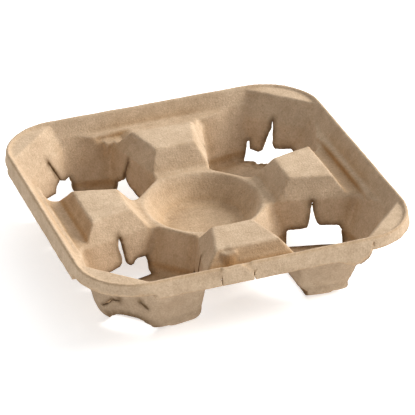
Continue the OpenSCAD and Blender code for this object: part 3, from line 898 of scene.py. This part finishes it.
def pulp_material():
    """Felted pulp: mottled, flecked with fibres, with painted shade in hollows, underneath and at
    torn edges.
    """
    mat = bpy.data.materials.new("felted_pulp")
    mat.use_nodes = True
    nodes, links = mat.node_tree.nodes, mat.node_tree.links
    shader = nodes["Principled BSDF"]
    shader.inputs["Specular IOR Level"].default_value = 0.15
    place = nodes.new("ShaderNodeTexCoord").outputs["Object"]

    def layer(scale, detail, rough, stretch=(1, 1, 1), turn=(0, 0, 0)):
        mapping = nodes.new("ShaderNodeMapping")
        mapping.inputs["Scale"].default_value = stretch
        mapping.inputs["Rotation"].default_value = turn
        links.new(place, mapping.inputs["Vector"])
        tex = nodes.new("ShaderNodeTexNoise")
        tex.inputs["Scale"].default_value = scale
        tex.inputs["Detail"].default_value = detail
        tex.inputs["Roughness"].default_value = rough
        links.new(mapping.outputs["Vector"], tex.inputs["Vector"])
        return tex.outputs["Fac"]

    def mix(kind, factor, a, b):
        node = nodes.new("ShaderNodeMix")
        node.data_type = "RGBA"
        node.blend_type = kind
        sockets = node.inputs["Factor"], node.inputs[MIX_A], node.inputs[MIX_B]
        for socket, value in zip(sockets, (factor, a, b)):
            if isinstance(value, bpy.types.NodeSocket):
                links.new(value, socket)
            else:
                socket.default_value = value
        return node.outputs[MIX_RESULT]

    def band(value, low, high):
        node = nodes.new("ShaderNodeMapRange")
        node.inputs["From Min"].default_value = low
        node.inputs["From Max"].default_value = high
        links.new(value, node.inputs["Value"])
        return node.outputs["Result"]

    def wave(direction):
        node = nodes.new("ShaderNodeTexWave")
        node.bands_direction = direction
        node.inputs["Scale"].default_value = 175.0
        node.inputs["Distortion"].default_value = 4.0
        node.inputs["Detail"].default_value = 1.0
        links.new(place, node.inputs["Vector"])
        return node.outputs["Fac"]

    def add(a, b, share):
        node = nodes.new("ShaderNodeMath")
        node.operation = "MULTIPLY_ADD"
        links.new(b, node.inputs[0])
        node.inputs[1].default_value = share
        links.new(a, node.inputs[2])
        return node.outputs["Value"]

    def mark(name):
        node = nodes.new("ShaderNodeAttribute")
        node.attribute_name = name
        return node.outputs["Fac"]

    mottle = layer(scale=60.0, detail=6.0, rough=0.62)
    patch = layer(scale=220.0, detail=4.0, rough=0.6)
    grain = layer(scale=900.0, detail=3.0, rough=0.7)
    fleck = layer(
        scale=620.0, detail=2.0, rough=0.6, stretch=(1.0, 0.4, 1.0), turn=(0.3, 0.2, 0.7))
    dark_fleck = layer(
        scale=680.0, detail=2.0, rough=0.6, stretch=(0.4, 1.0, 1.0), turn=(0.2, 0.4, 0.4))
    mesh_mark = add(add(wave("X"), wave("Y"), 1.0), wave("Z"), 1.0)
    colour = mix("MIX", band(mottle, low=0.33, high=0.68), PULP_BROWN, PULP_TAN)
    tones = mix("MIX", band(patch, low=0.3, high=0.7), *PATCH_TINTS)
    colour = mix("MULTIPLY", TINT_SHARE, colour, tones)
    tones = mix("MIX", band(grain, low=0.3, high=0.7), *GRAIN_TINTS)
    colour = mix("MULTIPLY", TINT_SHARE, colour, tones)
    colour = mix("MIX", band(fleck, low=0.66, high=0.86), colour, PALE_FIBRE)
    colour = mix("MIX", band(dark_fleck, low=0.64, high=0.86), colour, DARK_FIBRE)
    # Painted shade in hollows
    colour = mix("MULTIPLY", mark("painted_hollow_shade"), colour, HOLLOW_SHADE_COLOUR)
    # Painted shade on the underside and skirt
    colour = mix("MULTIPLY", mark("painted_under_shade"), colour, UNDER_SHADE_COLOUR)
    # Painted shade at torn edges and in the fold line
    colour = mix("MIX", mark("painted_cut_shade"), colour, CUT_SHADE_COLOUR)
    links.new(colour, shader.inputs["Base Color"])
    rough = nodes.new("ShaderNodeMapRange")
    rough.inputs["To Min"].default_value = 0.98
    rough.inputs["To Max"].default_value = 0.84
    links.new(grain, rough.inputs["Value"])
    links.new(rough.outputs["Result"], shader.inputs["Roughness"])
    bump = nodes.new("ShaderNodeBump")
    bump.inputs["Strength"].default_value = 0.55
    bump.inputs["Distance"].default_value = 0.0006
    relief = add(add(grain, patch, share=0.8), mesh_mark, share=0.05)
    links.new(relief, bump.inputs["Height"])
    links.new(bump.outputs["Normal"], shader.inputs["Normal"])
    return mat


def floor_material():
    """Nearly white floor with a little light of its own."""
    mat = bpy.data.materials.new("pale_floor")
    mat.use_nodes = True
    nodes, links = mat.node_tree.nodes, mat.node_tree.links
    shader = nodes["Principled BSDF"]
    shader.inputs["Roughness"].default_value = 0.9
    shader.inputs["Specular IOR Level"].default_value = 0.1
    tex = nodes.new("ShaderNodeTexNoise")
    tex.inputs["Scale"].default_value = 3.0
    ramp_node = nodes.new("ShaderNodeMapRange")
    ramp_node.inputs["To Min"].default_value = 0.93
    ramp_node.inputs["To Max"].default_value = 0.95
    links.new(tex.outputs["Fac"], ramp_node.inputs["Value"])
    links.new(ramp_node.outputs["Result"], shader.inputs["Base Color"])
    shader.inputs["Emission Color"].default_value = (1.0, 1.0, 1.0, 1)
    shader.inputs["Emission Strength"].default_value = 0.55
    return mat


# Stage

def add_floor():
    """Wide flat floor under the tray."""
    mesh = bpy.data.meshes.new("floor")
    size = 6.0
    corners = [(-size, -size, 0), (size, -size, 0), (size, size, 0), (-size, size, 0)]
    mesh.from_pydata(corners, [], [(0, 1, 2, 3)])
    mesh.materials.append(floor_material())
    obj = bpy.data.objects.new("floor", mesh)
    bpy.context.scene.collection.objects.link(obj)


def add_sun(name, azimuth, height, spread, power, colour):
    """Broad, soft light from one direction, in degrees."""
    lamp = bpy.data.lights.new(name, "SUN")
    lamp.energy = power
    lamp.angle = math.radians(spread)
    lamp.color = colour
    obj = bpy.data.objects.new(name, lamp)
    az, el = math.radians(azimuth), math.radians(height)
    towards = Vector((math.cos(az) * math.cos(el), math.sin(az) * math.cos(el), math.sin(el)))
    obj.rotation_euler = towards.to_track_quat("Z", "Y").to_euler()
    bpy.context.scene.collection.objects.link(obj)


def add_stage():
    """Pale surroundings, a main light from the right and a weaker one from behind."""
    scene = bpy.context.scene
    scene.view_settings.view_transform = "Standard"
    world = bpy.data.worlds.new("studio")
    world.use_nodes = True
    back = world.node_tree.nodes["Background"]
    back.inputs["Color"].default_value = (1.0, 1.0, 1.0, 1)
    back.inputs["Strength"].default_value = 0.47
    scene.world = world
    add_sun("key", azimuth=-5.0, height=31.0, spread=30.0, power=3.5, colour=(1.0, 0.985, 0.96))
    add_sun("back_fill", azimuth=60.0, height=38.0, spread=40.0, power=0.9, colour=(1.0, 1.0, 1.0))


def add_camera():
    """Camera of the photograph: turn, height, roll and lens fitted to the tray's corners."""
    turn, rise, roll = math.radians(-19.39), math.radians(29.70), math.radians(-1.02)
    photo_px, sensor = 415.0, 36.0
    lens_px, distance, aim_z = 2683.0, 1.680, 0.048
    off_x, off_y = -4.8, -30.9
    right = Vector((math.cos(turn), math.sin(turn), 0))
    back_x, back_y = math.sin(turn) * math.cos(rise), -math.cos(turn) * math.cos(rise)
    back = Vector((back_x, back_y, math.sin(rise)))
    up = back.cross(right)
    level_right, level_up = right, up
    right = level_right * math.cos(roll) + level_up * math.sin(roll)
    up = level_up * math.cos(roll) - level_right * math.sin(roll)
    ahead = (right * (-off_x / lens_px) + up * (off_y / lens_px) - back).normalized()
    right = (right - ahead * right.dot(ahead)).normalized()
    up = right.cross(ahead)
    cam = bpy.data.cameras.new("camera")
    cam.sensor_width = sensor
    cam.lens = lens_px / photo_px * sensor
    cam.clip_end = 50.0
    obj = bpy.data.objects.new("camera", cam)
    turn_matrix = Matrix((right, up, -ahead)).transposed().to_4x4()
    obj.matrix_world = Matrix.Translation(back * distance + Vector((0, 0, aim_z))) @ turn_matrix
    bpy.context.scene.collection.objects.link(obj)
    bpy.context.scene.camera = obj


add_camera()
add_stage()
add_floor()
sheet_points, sheet_tris = make_sheet()
tray_points, tray_tris = thicken(sheet_points, sheet_tris)
carrier = add_mesh("pulp_tray", tray_points, tray_tris, pulp_material())
lighter(carrier, MOST_TRIANGLES)
mark_surface(carrier)
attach(carrier, "root")
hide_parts("cup_carrier")
